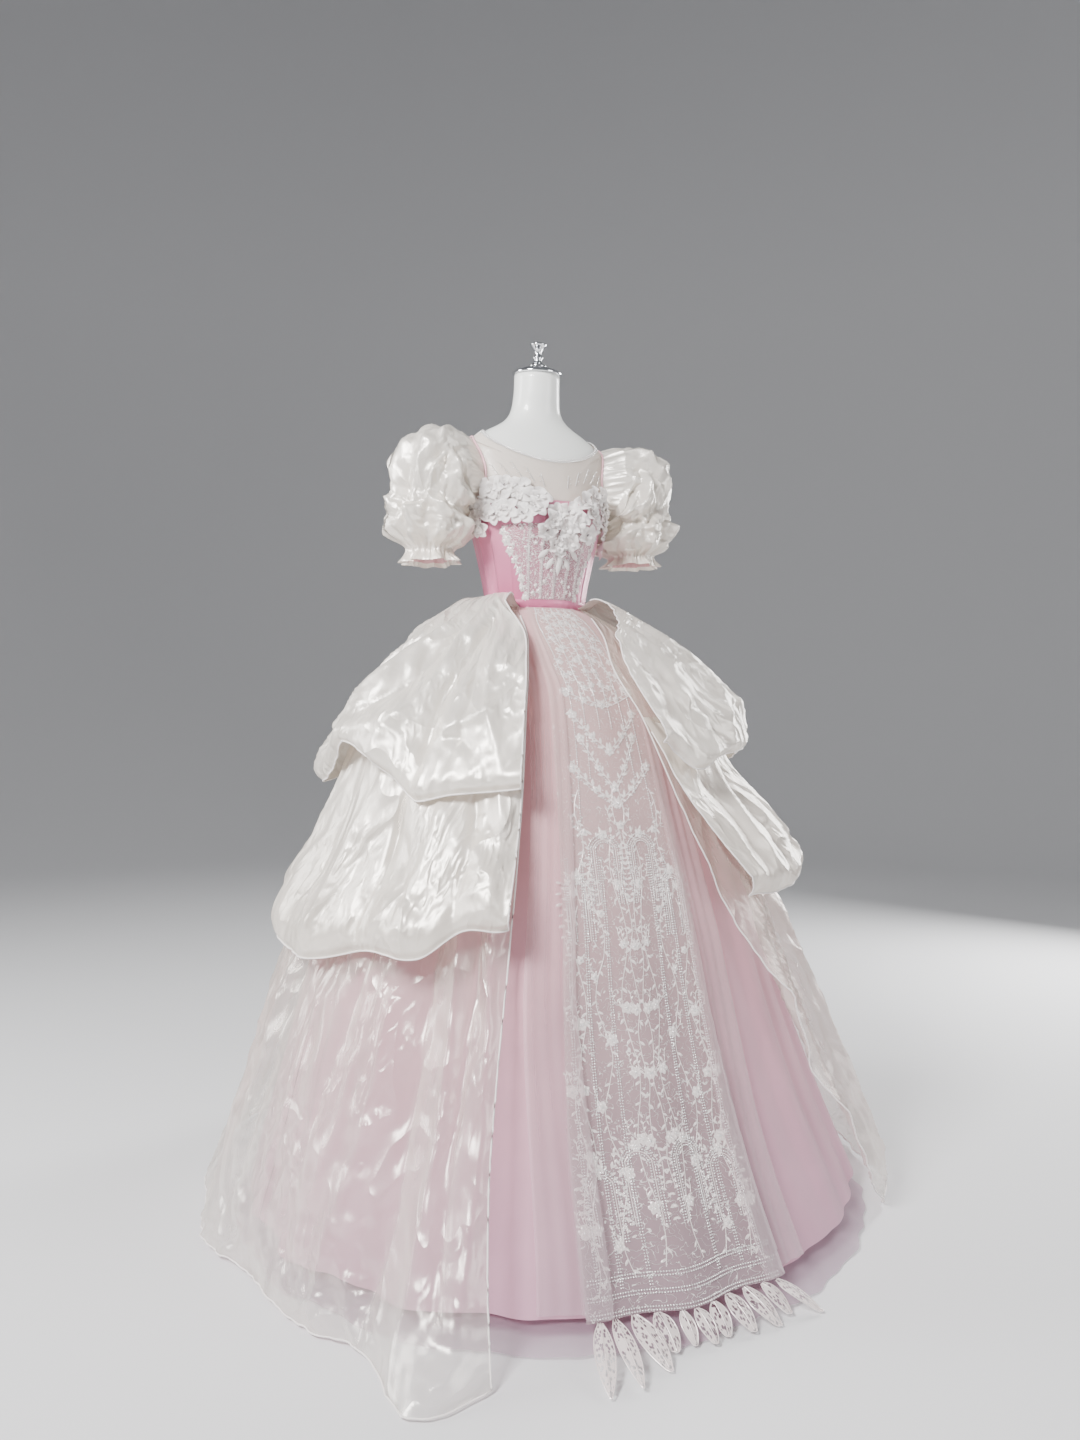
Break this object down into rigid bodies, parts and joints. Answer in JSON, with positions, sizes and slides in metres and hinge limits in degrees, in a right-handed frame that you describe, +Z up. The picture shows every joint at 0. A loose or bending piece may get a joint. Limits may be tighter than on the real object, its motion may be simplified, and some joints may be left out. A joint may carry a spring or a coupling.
{
  "type": "ball gown on dress form",
  "caption": "Layered ball gown with puff sleeves, lace front panel, flowered bodice and tiered open overskirt with train, on a limbless dress form.",
  "frame": {"origin": "middle of the stand base's underside, on the floor", "axes": "+Z up to the neck knob, -Y out of the gown's front, +X to the wearer's left"},
  "size_m": [1.4036, 1.5375, 1.7192],
  "materials": {
    "form": "smooth white shell",
    "chrome": "polished",
    "steel": "plain",
    "pink": "pink satin",
    "nude": "sheer net",
    "tulle": "soft pink tulle",
    "lining": "sheer grey pink net",
    "lace": "embroidered net",
    "organza": "shiny ivory organza",
    "flower": "cut petals and beads"
  },
  "bodies": {
    "root": {"dress_form": "form", "stand_base": "steel", "stand_pole": "steel", "neck_cap": "chrome", "neck_knob": "chrome", "corset_front": "pink", "corset_side_front_left": "pink", "corset_side_left": "pink", "corset_back_left": "pink", "corset_side_front_right": "pink", "corset_side_right": "pink", "corset_back_right": "pink", "waistband": "pink", "yoke_front": "nude", "yoke_back_left": "nude", "yoke_back_right": "nude", "neckline_beading": "flower", "back_zip": "pink", "sleeve_left": "organza", "armhole_binding_left": "pink", "sleeve_right": "organza", "armhole_binding_right": "pink", "bust_flowers": "flower", "tulle_front": "tulle", "lining_front": "lining", "tulle_back": "tulle", "lining_back": "lining", "lace_panel": "lace", "lace_leaf_1": "lace", "lace_leaf_2": "lace", "lace_leaf_3": "lace", "lace_leaf_4": "lace", "lace_leaf_5": "lace", "lace_leaf_6": "lace", "lace_leaf_7": "lace", "lace_leaf_8": "lace", "lace_leaf_9": "lace", "lace_leaf_10": "lace", "lace_leaf_11": "lace", "overskirt_long_right": "organza", "overskirt_lower_right": "organza", "overskirt_upper_right": "organza", "overskirt_long_left": "organza", "overskirt_lower_left": "organza", "overskirt_upper_left": "organza"}
  },
  "joints": []
}
